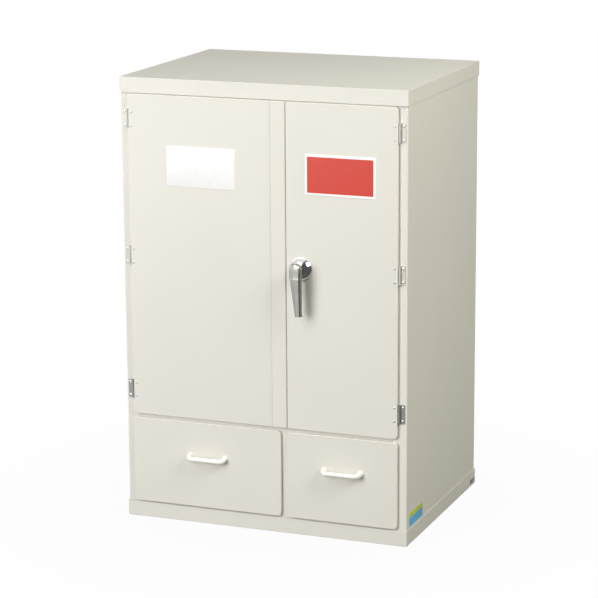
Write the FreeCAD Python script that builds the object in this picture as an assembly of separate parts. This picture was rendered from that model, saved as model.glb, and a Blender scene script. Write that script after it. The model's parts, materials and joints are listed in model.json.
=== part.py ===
"""Steel chemical storage cabinet: two hinged doors over two drawers, built from folded sheet pieces.

Millimetres. +Z is up, the front faces -Y and the origin is the centre of the base tray's underside.
"""
import FreeCAD
import Part
import math
import os

Vector = FreeCAD.Vector
UP = Vector(0, 0, 1)
OUT = Vector(0, -1, 0)

# Outside sizes of the cabinet
WIDTH = 600.0
DEPTH = 450.0
HEIGHT = 900.0
CAP_SKIRT = 30.0
BASE_SKIRT = 31.0
SIDE_OVERHANG = 1.5
FRONT_OVERHANG = 4.0
SHEET = 1.2
BEND = 2.0

# Clearances
RUN = 0.3
FIT = 0.15
PIN_CLEAR = 0.05

# How near an edge lies to a place to be picked
NEAR = 0.3

# Frame behind the doors and drawers
STILE_WIDTH = 30.0
STILE_LIP = 14.0
BACK_FLANGE = 20.0
RAIL_FLANGE = 20.0
HEADER_HEIGHT = 57.0
MID_RAIL_HEIGHT = 50.0
SILL_HEIGHT = 44.0
DECK_LAP = 5.0
DECK_FLANGE = 20.0
DIVIDER_WIDTH = 40.0

# Doors and drawer fronts
STILE_SHOW = 18.0
DOOR_TOP_GAP = 2.0
DOOR_GAP = 1.2
RIGHT_DOOR_WIDTH = 228.7
RAIL_SHOW = 7.5
DRAWER_FRONT_HEIGHT = 176.2
DRAWER_FRONT_GAP = 3.0
POST_SHOW = 15.0
FRONT_DEPTH = 5.0
FRONT_RADIUS = 8.0
FRONT_RIM = 1.2
STRIP_WIDTH = 30.0
STRIP_THICK = 1.0

# Hinges
HINGE_HEIGHT = 38.0
HINGE_INSET = 50.0
KNUCKLE_RADIUS = 2.5
KNUCKLES = 5
PIN_RADIUS = 1.25
PIN_OUT = 3.0
LEAF_WIDTH = 11.0
LEAF_THICK = 1.2
LEAF_CORNER = 1.5
HINGE_SCREW_PITCH = 27.0
FRAME_SCREW_OUT = 7.0
DOOR_SCREW_IN = 6.0
SCREW_RADIUS = 1.5
SCREW_HEAD_RADIUS = 2.6
FRAME_SCREW_HEAD = 0.7
DOOR_SCREW_HEAD = 1.3
SCREW_LENGTH = 6.0

# Lever, rosette and cam of the right door
LEVER_SET = 30.8
LEVER_RISE = 323.7
ROSETTE_RADIUS = 23.2
ROSETTE_RIM = 2.0
ROSETTE_ROUND = 0.8
DOME_RADIUS = 22.2
DOME_HEIGHT = 12.0
DOME_LAND = 10.0
COLLAR_RADIUS = 9.4
COLLAR_LENGTH = 12.5
SPINDLE_RADIUS = 4.5
SPINDLE_SINK = 8.0
SPINDLE_HOLE_CLEAR = 1.0
LEVER_HUB_THICK = 13.0
LEVER_TIP_THICK = 9.0
LEVER_TIP_BACK = 2.0
LEVER_CROWN = 16.5
LEVER_SHOULDER = 9.0
LEVER_HUB_FOOT = 13.0
LEVER_STEP = 0.8
LEVER_REACH = 88.0
LEVER_FOOT = 5.0
LEVER_HUB_LEFT = 11.6
LEVER_HUB_RIGHT = 11.6
LEVER_TIP_LEFT = 2.3
LEVER_TIP_RIGHT = 10.2
LEVER_FOOT_FLARE = 2.2
LEVER_ROUND = 0.8
LEFT_FACET = 10.0
RIGHT_FACET = 2.5
FACET_DEPTH = 3.2
TIP_FACET = 3.6
LOCK_PLATE_SIDE = 50.0
LOCK_PLATE_THICK = 5.0
CAM_THICK = 3.0
CAM_HUB_RADIUS = 11.0
CAM_WIDTH = 14.0
CAM_LENGTH = 48.0
NUT_ACROSS = 14.0
NUT_SIDES = 6
NUT_THICK = 4.0

# Slide bolts inside the left door
BOLT_SET = 16.0
BOLT_RADIUS = 4.0
BOLT_LENGTH = 76.0
BOLT_HOLE_CLEAR = 1.0
BOLT_TIP_GAP = 3.5
BOLT_GUIDE_LENGTH = 36.0
BOLT_GUIDE_WALL = 4.0
BOLT_GUIDE_BACK = 13.0
BOLT_KNOB_RADIUS = 2.5
BOLT_KNOB_LENGTH = 11.0
BOLT_KNOB_INSET = 9.0

# Shelves, standards and clips
STANDARD_WIDTH = 20.0
STANDARD_DEPTH = 4.0
STANDARD_FOOT = 20.0
STANDARD_HEIGHT = 560.0
STANDARD_FRONT = 60.0
STANDARD_BACK = 48.0
SLOT_PITCH = 25.0
SLOT_HEIGHT = 9.0
SLOT_WIDTH = 6.0
LOWER_SHELF_RISE = 160.0
UPPER_SHELF_RISE = 385.0
CLIP_LEDGE = 12.0
CLIP_HEIGHT = 14.0
CLIP_THICK = 2.0
CLIP_WIDTH = 14.0
SHELF_SIDE_GAP = 1.0
SHELF_SETBACK = 36.0
SHELF_BACK_GAP = 6.0
SHELF_EDGE = 25.0

# Drawers, runners and pulls
RUNNER_SPACE = 13.0
RUNNER_HEIGHT = 22.0
RUNNER_RISE = 30.0
RUNNER_FLANGE = 10.0
RUNNER_START = 3.5
BOX_RISE = 5.0
BOX_HEIGHT = 120.0
BOX_LENGTH = 410.0
BOX_SHEET = 1.0
RUNNER_SIDE_CLEAR = 0.5
RUNNER_BOX_INSET = 4.0
PULL_SPAN = 75.5
PULL_RADIUS = 5.2
PULL_REACH = 14.0
PULL_DROP = 3.0
PULL_CORNER = 9.0
PULL_RISE = 106.0
PULL_FOOT_RADIUS = 6.2
PULL_FOOT_HEIGHT = 3.0
PULL_SCREW_RADIUS = 2.0
PULL_SCREW_DEPTH = 5.0
PULL_SCREW_HEAD_RADIUS = 4.0
PULL_SCREW_HEAD = 1.8

# Planes worked out from the sizes above
BODY_X = WIDTH / 2 - SIDE_OVERHANG
FACE_Y = FRONT_OVERHANG - DEPTH / 2
BACK_Y = DEPTH / 2 - FRONT_OVERHANG
INNER_BACK_Y = BACK_Y - 2 * SHEET
BODY_LOW = SHEET
BODY_HIGH = HEIGHT - SHEET
OPENING_X = BODY_X - STILE_WIDTH
FRONT_BACK_Y = FACE_Y - RUN - LEAF_THICK
FRONT_Y = FRONT_BACK_Y - FRONT_DEPTH
DOOR_EDGE_X = BODY_X - STILE_SHOW
DRAWER_LOW = BASE_SKIRT + DRAWER_FRONT_GAP
DRAWER_HIGH = DRAWER_LOW + DRAWER_FRONT_HEIGHT
DOOR_LOW = DRAWER_HIGH + RAIL_SHOW
DOOR_HIGH = HEIGHT - CAP_SKIRT - DOOR_TOP_GAP
RIGHT_DOOR_X = (DOOR_EDGE_X - RIGHT_DOOR_WIDTH, DOOR_EDGE_X)
LEFT_DOOR_X = (-DOOR_EDGE_X, RIGHT_DOOR_X[0] - DOOR_GAP)
RIGHT_DRAWER_X = (RIGHT_DOOR_X[0], DOOR_EDGE_X)
LEFT_DRAWER_X = (-DOOR_EDGE_X, RIGHT_DRAWER_X[0] - POST_SHOW)
DOOR_Z = (DOOR_LOW, DOOR_HIGH)
DRAWER_Z = (DRAWER_LOW, DRAWER_HIGH)
HEADER_LOW = BODY_HIGH - HEADER_HEIGHT
MID_RAIL_LOW = DRAWER_HIGH + RAIL_SHOW / 2 - MID_RAIL_HEIGHT / 2
DECK_LOW = MID_RAIL_LOW + MID_RAIL_HEIGHT
DECK_HIGH = DECK_LOW + SHEET
DECK_FRONT_Y = FACE_Y + RAIL_FLANGE - DECK_LAP
SILL_HIGH = BODY_LOW + SILL_HEIGHT
DIVIDER_MID_X = (LEFT_DRAWER_X[1] + RIGHT_DRAWER_X[0]) / 2
DIVIDER_X = (DIVIDER_MID_X - DIVIDER_WIDTH / 2, DIVIDER_MID_X + DIVIDER_WIDTH / 2)
PIN_X = DOOR_EDGE_X + PIN_OUT
PIN_Y = FACE_Y - RUN - KNUCKLE_RADIUS
HINGE_HEIGHTS = {
    "bottom": DOOR_LOW + HINGE_INSET,
    "middle": (DOOR_LOW + DOOR_HIGH) / 2,
    "top": DOOR_HIGH - HINGE_INSET,
}
LEVER_X = RIGHT_DOOR_X[0] + LEVER_SET
LEVER_Z = DOOR_LOW + LEVER_RISE
COLLAR_Y = FRONT_Y - ROSETTE_RIM - DOME_LAND - RUN
LEVER_BACK_Y = COLLAR_Y - COLLAR_LENGTH
LOCK_PLATE_Y = FRONT_BACK_Y + LOCK_PLATE_THICK
CAM_Y = (LOCK_PLATE_Y + RUN, LOCK_PLATE_Y + RUN + CAM_THICK)
BOLT_X = LEFT_DOOR_X[1] - BOLT_SET
BOLT_Y = (FACE_Y + SHEET + DECK_FRONT_Y) / 2
STANDARD_LOW = DECK_HIGH + STANDARD_FOOT
STANDARD_X = BODY_X - SHEET - STANDARD_DEPTH
STANDARD_YS = (FACE_Y + STANDARD_FRONT, INNER_BACK_Y - STANDARD_BACK)
RUNNER_LOW = SILL_HIGH + RUNNER_RISE


def box(x, y, z):
    """Box between three (low, high) pairs."""
    return Part.makeBox(x[1] - x[0], y[1] - y[0], z[1] - z[0], Vector(x[0], y[0], z[0]))


def rod(radius, start, length, direction):
    """Cylinder of a radius from a start point along a direction."""
    return Part.makeCylinder(radius, length, start, direction)


def along(edge, axis):
    """True for a straight edge that runs along an axis."""
    if edge.Curve.TypeId != "Part::GeomLine":
        return False
    return edge.tangentAt(edge.FirstParameter).cross(axis).Length < Part.Precision.confusion()


def middle(edge):
    """Point halfway along an edge."""
    return edge.valueAt((edge.FirstParameter + edge.LastParameter) / 2)


def round_edges(shape, radius, wanted):
    """Fillets the edges that a test picks."""
    return shape.makeFillet(radius, [e for e in shape.Edges if wanted(e)])


def mirror_x(shape):
    """The same shape on the other side of the middle plane."""
    return shape.mirror(Vector(0, 0, 0), Vector(1, 0, 0))


def slab(x, y, z, radius, ends=(0, 1)):
    """Upright plate between two y values, its corners rounded at the picked ends of x."""
    places = [x[end] for end in ends]

    def wanted(edge):
        return along(edge, OUT) and any(abs(middle(edge).x - place) < NEAR for place in places)
    return round_edges(box(x, y, z), radius, wanted)


def fold(points, low, high):
    """Folded sheet: its profile in plan, raised from low to high."""
    corners = [Vector(x, y, low) for x, y in points]
    face = Part.Face(Part.makePolygon(corners + corners[:1]))
    return face.extrude(UP * (high - low))


def round_bends(shape, places, radius):
    """Rounds the upright bends of a folded sheet at the given plan points."""
    def wanted(edge):
        spot = middle(edge)
        return along(edge, UP) and any(math.hypot(spot.x - x, spot.y - y) < NEAR for x, y in places)
    return round_edges(shape, radius, wanted)


def tray(height, floor_low):
    """Shallow tray of the cabinet's outline with a folded skirt, floor at the bottom or the top."""
    outer = box((-WIDTH / 2, WIDTH / 2), (-DEPTH / 2, DEPTH / 2), (0, height))
    outer = round_edges(outer, BEND, lambda e: along(e, UP))
    rim_z = 0 if floor_low else height
    outer = round_edges(outer, BEND / 2, lambda e: abs(middle(e).z - rim_z) < NEAR)
    hollow_z = (SHEET, height) if floor_low else (0, height - SHEET)
    hollow = box((SHEET - WIDTH / 2, WIDTH / 2 - SHEET), (SHEET - DEPTH / 2, DEPTH / 2 - SHEET), hollow_z)
    return outer.cut(hollow)


def top_cap():
    """Inverted tray that closes the body at the top."""
    return tray(CAP_SKIRT, False).translated(UP * (HEIGHT - CAP_SKIRT))


def base_tray():
    """Tray that the body stands in."""
    return tray(BASE_SKIRT, True)


def hinge_screw_spots(x):
    """Screw places of one door's hinges at a given x."""
    offsets = (-HINGE_SCREW_PITCH / 2, HINGE_SCREW_PITCH / 2)
    return [(x, z + step) for z in HINGE_HEIGHTS.values() for step in offsets]


def drilled(shape, spots, radius):
    """Shape with holes along Y at the given x and z places."""
    for x, z in spots:
        shape = shape.cut(rod(radius, Vector(x, -DEPTH, z), DEPTH, -OUT))
    return shape


def right_side_panel():
    """Side sheet with its front stile, stile lip and back flange folded from one piece."""
    lip_x = OPENING_X + SHEET
    flange_x = BODY_X - BACK_FLANGE
    points = [
        (OPENING_X, FACE_Y),
        (BODY_X, FACE_Y),
        (BODY_X, BACK_Y),
        (flange_x, BACK_Y),
        (flange_x, BACK_Y - SHEET),
        (BODY_X - SHEET, BACK_Y - SHEET),
        (BODY_X - SHEET, FACE_Y + SHEET),
        (lip_x, FACE_Y + SHEET),
        (lip_x, FACE_Y + STILE_LIP),
        (OPENING_X, FACE_Y + STILE_LIP),
    ]
    panel = fold(points, BODY_LOW, BODY_HIGH)
    panel = round_bends(panel, [points[1], points[2]], BEND)
    panel = round_bends(panel, [points[0]], BEND / 2)
    return drilled(panel, hinge_screw_spots(PIN_X + FRAME_SCREW_OUT), SCREW_RADIUS + FIT)


def back_panel():
    """Flat sheet welded to the inside of the side panels' back flanges."""
    x = BODY_X - SHEET - FIT
    return box((-x, x), (INNER_BACK_Y, INNER_BACK_Y + SHEET), (BODY_LOW, BODY_HIGH))


def rail(low, high):
    """Front rail between the stiles: a channel open to the back."""
    width = (-OPENING_X, OPENING_X)
    channel = box(width, (FACE_Y, FACE_Y + RAIL_FLANGE), (low, high))
    hollow = box(width, (FACE_Y + SHEET, FACE_Y + RAIL_FLANGE), (low + SHEET, high - SHEET))
    return channel.cut(hollow)


def bolt_hole(z):
    """Cutter for the hole that a slide bolt shoots into, through a sheet around a height."""
    reach = 2 * SHEET
    return rod(BOLT_RADIUS + BOLT_HOLE_CLEAR, Vector(BOLT_X, BOLT_Y, z - reach), 2 * reach, UP)


def header_rail():
    """Rail over the doors, with the upper bolt's hole in its lower flange."""
    return rail(HEADER_LOW, BODY_HIGH).cut(bolt_hole(HEADER_LOW + SHEET / 2))


def mid_rail():
    """Rail between doors and drawers, with the lower bolt's hole in its upper flange."""
    return rail(MID_RAIL_LOW, DECK_LOW).cut(bolt_hole(DECK_LOW - SHEET / 2))


def front_sill():
    """Rail under the drawers."""
    return rail(BODY_LOW, SILL_HIGH)


def middle_deck():
    """Floor of the upper compartment, with a flange down each side wall."""
    x = BODY_X - SHEET
    y = (DECK_FRONT_Y, INNER_BACK_Y)
    plate = box((-x, x), y, (DECK_LOW, DECK_HIGH))
    wing_y = (FACE_Y + RAIL_FLANGE, INNER_BACK_Y)
    wing = box((x - SHEET, x), wing_y, (DECK_HIGH - DECK_FLANGE, DECK_LOW))
    return plate.fuse([wing, mirror_x(wing)]).removeSplitter()


def drawer_divider():
    """Hollow partition between the drawers: a front post with its two sides folded back."""
    low_x, high_x = DIVIDER_X
    points = [
        (low_x, FACE_Y),
        (high_x, FACE_Y),
        (high_x, INNER_BACK_Y),
        (high_x - SHEET, INNER_BACK_Y),
        (high_x - SHEET, FACE_Y + SHEET),
        (low_x + SHEET, FACE_Y + SHEET),
        (low_x + SHEET, INNER_BACK_Y),
        (low_x, INNER_BACK_Y),
    ]
    return round_bends(fold(points, SILL_HIGH, MID_RAIL_LOW), points[:2], BEND)


def slot_heights():
    """Middle heights of the slots in a shelf standard."""
    count = int((STANDARD_HEIGHT - SLOT_PITCH) // SLOT_PITCH) + 1
    return [STANDARD_LOW + SLOT_PITCH * (0.5 + n) for n in range(count)]


def shelf_standards():
    """Four slotted channels on the side walls that carry the shelf clips."""
    made = []
    for y in STANDARD_YS:
        z = (STANDARD_LOW, STANDARD_LOW + STANDARD_HEIGHT)
        half = STANDARD_WIDTH / 2
        strip = box((STANDARD_X, BODY_X - SHEET), (y - half, y + half), z)
        groove_y = (y - half + SHEET, y + half - SHEET)
        strip = strip.cut(box((STANDARD_X + SHEET, BODY_X - SHEET), groove_y, z))
        slots = []
        for height in slot_heights():
            slot_z = (height - SLOT_HEIGHT / 2, height + SLOT_HEIGHT / 2)
            slot_y = (y - SLOT_WIDTH / 2, y + SLOT_WIDTH / 2)
            slots.append(box((STANDARD_X, STANDARD_X + SHEET), slot_y, slot_z))
        strip = strip.cut(slots)
        made += [strip, mirror_x(strip)]
    return Part.makeCompound(made)


def clip_ledge_z(rise):
    """Height of the ledge of a clip hooked into the slot at a rise up the standards."""
    return slot_heights()[int(rise // SLOT_PITCH)] + SLOT_HEIGHT / 2 - FIT


def shelf_clips():
    """Eight angle clips, hooked into the standards under the shelves' corners."""
    made = []
    for rise in (LOWER_SHELF_RISE, UPPER_SHELF_RISE):
        top = clip_ledge_z(rise)
        for y in STANDARD_YS:
            width = (y - CLIP_WIDTH / 2, y + CLIP_WIDTH / 2)
            plate = box((STANDARD_X - CLIP_THICK, STANDARD_X), width, (top - CLIP_HEIGHT, top))
            ledge = box((STANDARD_X - CLIP_LEDGE, STANDARD_X), width, (top - CLIP_THICK, top))
            tongue_y = (y - SLOT_WIDTH / 2 + FIT, y + SLOT_WIDTH / 2 - FIT)
            tongue_z = (top - SLOT_HEIGHT + 2 * FIT, top)
            tongue = box((STANDARD_X - CLIP_THICK, STANDARD_X + SHEET), tongue_y, tongue_z)
            clip = plate.fuse([ledge, tongue]).removeSplitter()
            made += [clip, mirror_x(clip)]
    return Part.makeCompound(made)


def shelf(rise):
    """Shelf with all four edges turned down, resting on its clips."""
    low = clip_ledge_z(rise)
    x = STANDARD_X - SHELF_SIDE_GAP
    y = (FACE_Y + SHELF_SETBACK, INNER_BACK_Y - SHELF_BACK_GAP)
    z = (low, low + SHELF_EDGE)
    body = box((-x, x), y, z)
    body = round_edges(body, BEND, lambda e: abs(middle(e).z - z[1]) < NEAR)
    inner_y = (y[0] + SHEET, y[1] - SHEET)
    return body.cut(box((SHEET - x, x - SHEET), inner_y, (z[0], z[1] - SHEET)))


def pan(x, z, ends=(0, 1)):
    """Front pan of a door or drawer: a face sheet with its edge folded back all round."""
    outer = slab(x, (FRONT_Y, FRONT_BACK_Y), z, FRONT_RADIUS, ends)
    outer = round_edges(outer, FRONT_RIM, lambda e: abs(middle(e).y - FRONT_Y) < NEAR)
    inner_x = (x[0] + SHEET, x[1] - SHEET)
    inner_z = (z[0] + SHEET, z[1] - SHEET)
    hollow = slab(inner_x, (FRONT_Y + SHEET, FRONT_BACK_Y), inner_z, FRONT_RADIUS - SHEET, ends)
    return outer.cut(hollow)


def liner(x, z, ends=(0, 1)):
    """Plate that closes the back of a pan."""
    edge = SHEET + FIT
    inner_x = (x[0] + edge, x[1] - edge)
    inner_z = (z[0] + edge, z[1] - edge)
    return slab(inner_x, (FRONT_BACK_Y - SHEET, FRONT_BACK_Y), inner_z, FRONT_RADIUS - edge, ends)


def door_screw_spots(side):
    """Places of the screws that hold a door to its hinge leaves: side is -1 left, 1 right."""
    return hinge_screw_spots(side * (DOOR_EDGE_X - DOOR_SCREW_IN))


def left_door():
    """Pieces of the left door, square at the meeting edge, apart from its hinge leaves."""
    holes = door_screw_spots(-1)
    outer_end = (0,)
    strip_x = (LEFT_DOOR_X[1] - STRIP_WIDTH, LEFT_DOOR_X[1] - FRONT_RIM)
    strip_z = (DOOR_LOW + FRONT_RIM, DOOR_HIGH - FRONT_RIM)
    return {
        "left_door_skin": drilled(pan(LEFT_DOOR_X, DOOR_Z, outer_end), holes, SCREW_RADIUS + FIT),
        "left_door_liner": drilled(liner(LEFT_DOOR_X, DOOR_Z, outer_end), holes, SCREW_RADIUS + FIT),
        "left_door_meeting_strip": box(strip_x, (FRONT_Y - STRIP_THICK, FRONT_Y), strip_z),
    }


def right_door():
    """Pieces of the right door, square at the meeting edge, apart from its hinge leaves."""
    holes = door_screw_spots(1)
    outer_end = (1,)
    spindle = [(LEVER_X, LEVER_Z)]
    made = {}
    for name, sheet in (("skin", pan), ("liner", liner)):
        shape = drilled(sheet(RIGHT_DOOR_X, DOOR_Z, outer_end), holes, SCREW_RADIUS + FIT)
        made["right_door_" + name] = drilled(shape, spindle, SPINDLE_RADIUS + SPINDLE_HOLE_CLEAR)
    half = LOCK_PLATE_SIDE / 2
    plate_x = (LEVER_X - half, LEVER_X + half)
    plate = slab(plate_x, (FRONT_BACK_Y, LOCK_PLATE_Y), (LEVER_Z - half, LEVER_Z + half), FRONT_RADIUS)
    made["right_door_lock_plate"] = drilled(plate, spindle, SPINDLE_RADIUS + PIN_CLEAR)
    return made


def knuckle_spans(middle_z):
    """Low and high ends of a hinge's knuckles, from the bottom up."""
    pitch = HINGE_HEIGHT / KNUCKLES
    low = middle_z - HINGE_HEIGHT / 2
    return [(low + n * pitch + RUN / 2, low + (n + 1) * pitch - RUN / 2) for n in range(KNUCKLES)]


def hinge_leaf(middle_z, first, outward, back_y, screw_x):
    """Right-hand hinge leaf: a plate with every second knuckle from the first, drilled for two screws."""
    end_x = PIN_X + outward * LEAF_WIDTH
    x = (min(PIN_X, end_x), max(PIN_X, end_x))
    z = (middle_z - HINGE_HEIGHT / 2, middle_z + HINGE_HEIGHT / 2)
    plate = box(x, (back_y - LEAF_THICK, back_y), z)
    plate = round_edges(plate, LEAF_CORNER, lambda e: along(e, OUT) and abs(middle(e).x - end_x) < SHEET)
    spans = knuckle_spans(middle_z)
    room = KNUCKLE_RADIUS + RUN
    for n, (low, high) in enumerate(spans):
        if n % 2 == first:
            plate = plate.fuse(rod(KNUCKLE_RADIUS, Vector(PIN_X, PIN_Y, low), high - low, UP))
        else:
            gap_z = (low - RUN, high + RUN)
            plate = plate.cut(box((PIN_X - room, PIN_X + room), (PIN_Y - room, PIN_Y + room), gap_z))
    bore = rod(PIN_RADIUS + PIN_CLEAR, Vector(PIN_X, PIN_Y, z[0] - RUN), HINGE_HEIGHT + 2 * RUN, UP)
    spots = [(screw_x, middle_z + step) for step in (-HINGE_SCREW_PITCH / 2, HINGE_SCREW_PITCH / 2)]
    return drilled(plate.cut(bore), spots, SCREW_RADIUS + FIT).removeSplitter()


def screw(x, z, face_y, head, length):
    """Screw with a low domed head on a front face and its shank going back."""
    sphere_radius = (SCREW_HEAD_RADIUS ** 2 + head ** 2) / (2 * head)
    sphere = Part.makeSphere(sphere_radius, Vector(x, face_y + sphere_radius - head, z))
    cap = sphere.common(rod(SCREW_HEAD_RADIUS, Vector(x, face_y, z), 2 * head, OUT))
    return cap.fuse(rod(SCREW_RADIUS, Vector(x, face_y, z), length, -OUT)).removeSplitter()


def hinges():
    """Leaves, pins and screws of the six hinges."""
    made = {}
    pins = []
    for name, z in HINGE_HEIGHTS.items():
        frame = hinge_leaf(z, 0, 1, FACE_Y, PIN_X + FRAME_SCREW_OUT)
        door = hinge_leaf(z, 1, -1, FACE_Y - RUN, DOOR_EDGE_X - DOOR_SCREW_IN)
        made["right_" + name + "_frame_leaf"] = frame
        made["right_" + name + "_door_leaf"] = door
        made["left_" + name + "_frame_leaf"] = mirror_x(frame)
        made["left_" + name + "_door_leaf"] = mirror_x(door)
        pins.append(rod(PIN_RADIUS, Vector(PIN_X, PIN_Y, z - HINGE_HEIGHT / 2), HINGE_HEIGHT, UP))
    leaf_y = FACE_Y - LEAF_THICK
    frame_spots = hinge_screw_spots(PIN_X + FRAME_SCREW_OUT)
    frame_screws = [screw(x, z, leaf_y, FRAME_SCREW_HEAD, SCREW_LENGTH) for x, z in frame_spots]
    through = FRONT_DEPTH + LEAF_THICK
    door_screws = [screw(x, z, FRONT_Y, DOOR_SCREW_HEAD, through) for x, z in door_screw_spots(1)]
    groups = (("hinge_pins", pins), ("frame_leaf_screws", frame_screws), ("door_leaf_screws", door_screws))
    for name, solids in groups:
        made["right_" + name] = Part.makeCompound(solids)
        made["left_" + name] = Part.makeCompound([mirror_x(s) for s in solids])
    return made


def rosette():
    """Domed round plate that the lever's collar turns on."""
    spot = Vector(LEVER_X, FRONT_Y, LEVER_Z)
    rim = rod(ROSETTE_RADIUS, spot, ROSETTE_RIM, OUT)
    rim = round_edges(rim, ROSETTE_ROUND, lambda e: abs(middle(e).y - FRONT_Y + ROSETTE_RIM) < NEAR)
    ball_radius = (DOME_RADIUS ** 2 + DOME_HEIGHT ** 2) / (2 * DOME_HEIGHT)
    ball = Part.makeSphere(ball_radius, spot - OUT * (ball_radius - DOME_HEIGHT - ROSETTE_RIM))
    dome = ball.common(rod(DOME_RADIUS, spot, ROSETTE_RIM + DOME_LAND, OUT))
    return drilled(rim.fuse(dome).removeSplitter(), [(LEVER_X, LEVER_Z)], SPINDLE_RADIUS + PIN_CLEAR)


def lever_section(z, reach, thick, facets, back=0.0):
    """Closed six-sided section of the lever at a height from its pivot; pairs are (left, right)."""
    left, right = reach
    back_y = LEVER_BACK_Y + back
    front_y = back_y - thick
    facet_y = front_y + FACET_DEPTH
    points = [
        (-left, back_y),
        (-left, facet_y),
        (facets[0] - left, front_y),
        (right - facets[1], front_y),
        (right, facet_y),
        (right, back_y),
    ]
    corners = [Vector(LEVER_X + x, y, LEVER_Z + z) for x, y in points]
    return Part.makePolygon(corners + corners[:1])


def lever_length(sections, ruled):
    """Length of the lever through its sections, with its long front edges eased."""
    piece = Part.makeLoft(sections, True, ruled)

    def wanted(edge):
        run = edge.valueAt(edge.LastParameter) - edge.valueAt(edge.FirstParameter)
        return abs(run.z) > run.Length / 2 and middle(edge).y < LEVER_BACK_Y - LEVER_ROUND
    return round_edges(piece, LEVER_ROUND, wanted)


def lever_toe():
    """Small wedge that flares the lever's foot to the right."""
    back_y = LEVER_BACK_Y + LEVER_TIP_BACK - LEVER_ROUND
    depth = LEVER_TIP_THICK - FACET_DEPTH - 2 * LEVER_ROUND
    low = LEVER_Z - LEVER_REACH
    side_x = LEVER_X + LEVER_TIP_RIGHT
    inner_x = side_x - LEVER_FOOT_FLARE
    spots = [(inner_x, low), (side_x + LEVER_FOOT_FLARE, low), (inner_x, low + 2 * LEVER_FOOT)]
    corners = [Vector(x, back_y, z) for x, z in spots]
    return Part.Face(Part.makePolygon(corners + corners[:1])).extrude(OUT * depth)


def lever():
    """Tapered lever hanging from its hub, with a long left facet, a flat front and a flared foot."""
    left, right = LEVER_HUB_LEFT, LEVER_HUB_RIGHT
    hub = LEVER_HUB_THICK
    crown = (left / 2, right / 2)
    arm = (left - LEVER_STEP, right - LEVER_STEP)
    tip = (LEVER_TIP_LEFT, LEVER_TIP_RIGHT)
    crown_facets = (LEFT_FACET / 2, RIGHT_FACET)
    facets = (LEFT_FACET, RIGHT_FACET)
    tip_facets = (TIP_FACET, RIGHT_FACET)
    hub_part = lever_length([
        lever_section(LEVER_CROWN, crown, hub - FACET_DEPTH / 2, crown_facets),
        lever_section(LEVER_SHOULDER, arm, hub, facets),
        lever_section(0, (left, right), hub, facets),
        lever_section(-LEVER_HUB_FOOT, (left, right), hub, facets),
    ], False)
    arm_part = lever_length([
        lever_section(-LEVER_HUB_FOOT, arm, hub - LEVER_STEP, facets),
        lever_section(-LEVER_REACH, tip, LEVER_TIP_THICK, tip_facets, LEVER_TIP_BACK),
    ], True)
    socket = rod(SPINDLE_RADIUS + PIN_CLEAR, Vector(LEVER_X, LEVER_BACK_Y, LEVER_Z), SPINDLE_SINK, OUT)
    return hub_part.fuse([arm_part, lever_toe()]).cut(socket).removeSplitter()


def spindle():
    """Shaft from the lever through the door to the cam, with the collar that shows over the dome."""
    start = Vector(LEVER_X, LEVER_BACK_Y - SPINDLE_SINK, LEVER_Z)
    shaft = rod(SPINDLE_RADIUS, start, CAM_Y[1] + NUT_THICK - start.y, -OUT)
    collar = rod(COLLAR_RADIUS, Vector(LEVER_X, LEVER_BACK_Y, LEVER_Z), COLLAR_LENGTH, -OUT)
    return shaft.fuse(collar).removeSplitter()


def cam():
    """Latch cam on the inner end of the spindle, pointing up while the lever hangs."""
    spot = Vector(LEVER_X, CAM_Y[0], LEVER_Z)
    hub = rod(CAM_HUB_RADIUS, spot, CAM_THICK, -OUT)
    half = CAM_WIDTH / 2
    tongue = box((LEVER_X - half, LEVER_X + half), CAM_Y, (LEVER_Z, LEVER_Z + CAM_LENGTH))
    tip = rod(half, spot + UP * CAM_LENGTH, CAM_THICK, -OUT)
    blank = hub.fuse([tongue, tip]).removeSplitter()
    return drilled(blank, [(LEVER_X, LEVER_Z)], SPINDLE_RADIUS + PIN_CLEAR)


def cam_nut():
    """Hexagon nut that holds the cam on the spindle."""
    radius = NUT_ACROSS / 2 / math.cos(math.pi / NUT_SIDES)
    middle_spot = Vector(LEVER_X, CAM_Y[1], LEVER_Z)
    turns = [2 * math.pi * n / NUT_SIDES for n in range(NUT_SIDES)]
    corners = [middle_spot + Vector(math.cos(a), 0, math.sin(a)) * radius for a in turns]
    nut = Part.Face(Part.makePolygon(corners + corners[:1])).extrude(OUT * -NUT_THICK)
    return drilled(nut, [(LEVER_X, LEVER_Z)], SPINDLE_RADIUS + PIN_CLEAR)


def slide_bolt(tip_z, way):
    """Bolt of the left door and its guide; way is 1 for the upper bolt and -1 for the lower."""
    tip = Vector(BOLT_X, BOLT_Y, tip_z)
    shaft = rod(BOLT_RADIUS, tip, BOLT_LENGTH, UP * -way)
    knob_z = tip_z - way * (BOLT_LENGTH - BOLT_KNOB_INSET)
    knob = rod(BOLT_KNOB_RADIUS, Vector(BOLT_X, BOLT_Y, knob_z), BOLT_KNOB_LENGTH, -OUT)
    side = BOLT_RADIUS + BOLT_GUIDE_WALL
    ends = [tip_z - way * BOLT_GUIDE_BACK, tip_z - way * (BOLT_GUIDE_BACK + BOLT_GUIDE_LENGTH)]
    guide = box((BOLT_X - side, BOLT_X + side), (FRONT_BACK_Y, BOLT_Y + side), (min(ends), max(ends)))
    bore = rod(BOLT_RADIUS + PIN_CLEAR, tip, BOLT_LENGTH, UP * -way)
    return shaft.fuse(knob).removeSplitter(), guide.cut(bore)


def slide_bolts():
    """Both bolts and their guides, drawn back so that the left door swings free."""
    top_bolt, top_guide = slide_bolt(HEADER_LOW - BOLT_TIP_GAP, 1)
    bottom_bolt, bottom_guide = slide_bolt(DECK_HIGH + BOLT_TIP_GAP, -1)
    return {
        "top_bolt": top_bolt,
        "bottom_bolt": bottom_bolt,
        "bolt_guides": Part.makeCompound([top_guide, bottom_guide]),
    }


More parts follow.
